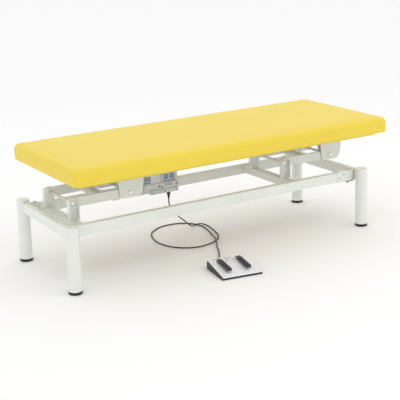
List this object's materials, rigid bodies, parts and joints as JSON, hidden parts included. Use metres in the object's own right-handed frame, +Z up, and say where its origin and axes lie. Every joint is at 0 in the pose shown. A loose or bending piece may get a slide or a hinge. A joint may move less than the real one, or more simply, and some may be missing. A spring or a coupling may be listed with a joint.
{
  "type": "electric examination couch",
  "caption": "Electric height-adjustable examination couch with a flat padded top, a legged steel frame, swinging lift arms and a foot switch on a cable.",
  "frame": {"origin": "on the floor, at the centre of the box around the couch and its foot switch, its cable left out", "axes": "+X along the couch towards the head end that overhangs the right pair of lift arms, +Y across it away from the foot switch, +Z up"},
  "size_m": [1.7962, 0.9151, 0.5733],
  "materials": {
    "powder_coated_steel": "satin",
    "zinc_plated_steel": "satin",
    "black_rubber": "matte",
    "light_grey_plastic": "matte",
    "black_plastic": "matte",
    "white_plastic": "satin",
    "yellow_vinyl": "satin",
    "plywood": "matte"
  },
  "bodies": {
    "base": {"leg_near_left": "powder_coated_steel", "leg_near_right": "powder_coated_steel", "leg_far_left": "powder_coated_steel", "leg_far_right": "powder_coated_steel", "leg_cap_near_left": "powder_coated_steel", "leg_cap_near_right": "powder_coated_steel", "leg_cap_far_left": "powder_coated_steel", "leg_cap_far_right": "powder_coated_steel", "end_rail_left": "powder_coated_steel", "end_rail_right": "powder_coated_steel", "side_rail_near": "powder_coated_steel", "side_rail_far": "powder_coated_steel", "lift_rail_left": "powder_coated_steel", "lift_rail_right": "powder_coated_steel", "lift_post_near_left": "powder_coated_steel", "lift_post_near_right": "powder_coated_steel", "lift_post_far_left": "powder_coated_steel", "lift_post_far_right": "powder_coated_steel", "foot_near_left": "black_rubber", "foot_near_right": "black_rubber", "foot_far_left": "black_rubber", "foot_far_right": "black_rubber", "rail_bolt_near_left": "zinc_plated_steel", "rail_bolt_near_right": "zinc_plated_steel", "rail_bolt_far_left": "zinc_plated_steel", "rail_bolt_far_right": "zinc_plated_steel", "lower_pivot_shaft_left": "zinc_plated_steel", "lower_pivot_shaft_right": "zinc_plated_steel", "foot_switch_base": "black_plastic", "foot_switch_cover": "white_plastic", "pedal_shaft": "zinc_plated_steel", "cable_floor": "black_plastic"},
    "left_arms": {"lift_arm_near_left": "powder_coated_steel", "lift_arm_far_left": "powder_coated_steel", "arm_cross_tube_left": "powder_coated_steel", "actuator_lever": "powder_coated_steel", "actuator_lever_pin": "zinc_plated_steel"},
    "right_arms": {"lift_arm_near_right": "powder_coated_steel", "lift_arm_far_right": "powder_coated_steel", "arm_cross_tube_right": "powder_coated_steel"},
    "top": {"top_bracket_near_left": "powder_coated_steel", "top_bracket_near_right": "powder_coated_steel", "top_bracket_far_left": "powder_coated_steel", "top_bracket_far_right": "powder_coated_steel", "upper_pivot_shaft_left": "zinc_plated_steel", "upper_pivot_shaft_right": "zinc_plated_steel", "top_rail_near": "powder_coated_steel", "top_rail_far": "powder_coated_steel", "top_cross_member_actuator": "powder_coated_steel", "top_cross_member_head": "powder_coated_steel", "top_board": "plywood", "cushion": "yellow_vinyl", "actuator_housing": "light_grey_plastic", "actuator_motor": "light_grey_plastic", "control_box": "light_grey_plastic", "cable_plug": "black_plastic"},
    "actuator_rod": {"actuator_rod": "zinc_plated_steel"},
    "cable_drop": {"cable_drop": "black_plastic"},
    "pedal_left": {"pedal_left": "black_plastic"},
    "pedal_right": {"pedal_right": "black_plastic"}
  },
  "joints": [
    {"name": "left_lift", "type": "hinge", "parent": "base", "child": "left_arms", "pos_m": [-0.7919, 0.10755, 0.366], "axis": [0, -1, 0], "range_deg": [0, 60]},
    {"name": "top_level", "type": "hinge", "parent": "left_arms", "child": "top", "pos_m": [-0.4969, 0.10755, 0.366], "axis": [0, 1, 0], "range_deg": [0, 60]},
    {"name": "right_lift", "type": "hinge", "parent": "base", "child": "right_arms", "pos_m": [0.3881, 0.10755, 0.366], "axis": [0, -1, 0], "range_deg": [0, 60]},
    {"name": "actuator_slide", "type": "slide", "parent": "top", "child": "actuator_rod", "axis": [1, 0, 0], "range_m": [0, 0.05]},
    {"name": "cable_follow", "type": "hinge", "parent": "top", "child": "cable_drop", "pos_m": [0.39644, 0.197, 0.0034], "axis": [0, -1, 0], "range_deg": [0, 60], "deforming": ["cable_drop"]},
    {"name": "pedal_left_press", "type": "hinge", "parent": "base", "child": "pedal_left", "pos_m": [-0.19092, -0.2931, 0.04548], "axis": [0.9869, -0.1616, 0], "range_deg": [0, 2.8], "stiffness_Nm_per_rad": 10, "springref_deg": -4.58},
    {"name": "pedal_right_press", "type": "hinge", "parent": "base", "child": "pedal_right", "pos_m": [-0.09519, -0.30878, 0.04548], "axis": [0.9869, -0.1616, 0], "range_deg": [0, 2.8], "stiffness_Nm_per_rad": 10, "springref_deg": -4.58}
  ],
  "couplings": [
    {"joint": "top_level", "follows": "left_lift", "ratio": 1},
    {"joint": "right_lift", "follows": "left_lift", "ratio": 1},
    {"joint": "actuator_slide", "follows": "left_lift", "m_per_rad": 0.0477},
    {"joint": "cable_follow", "follows": "left_lift", "ratio": 1}
  ]
}
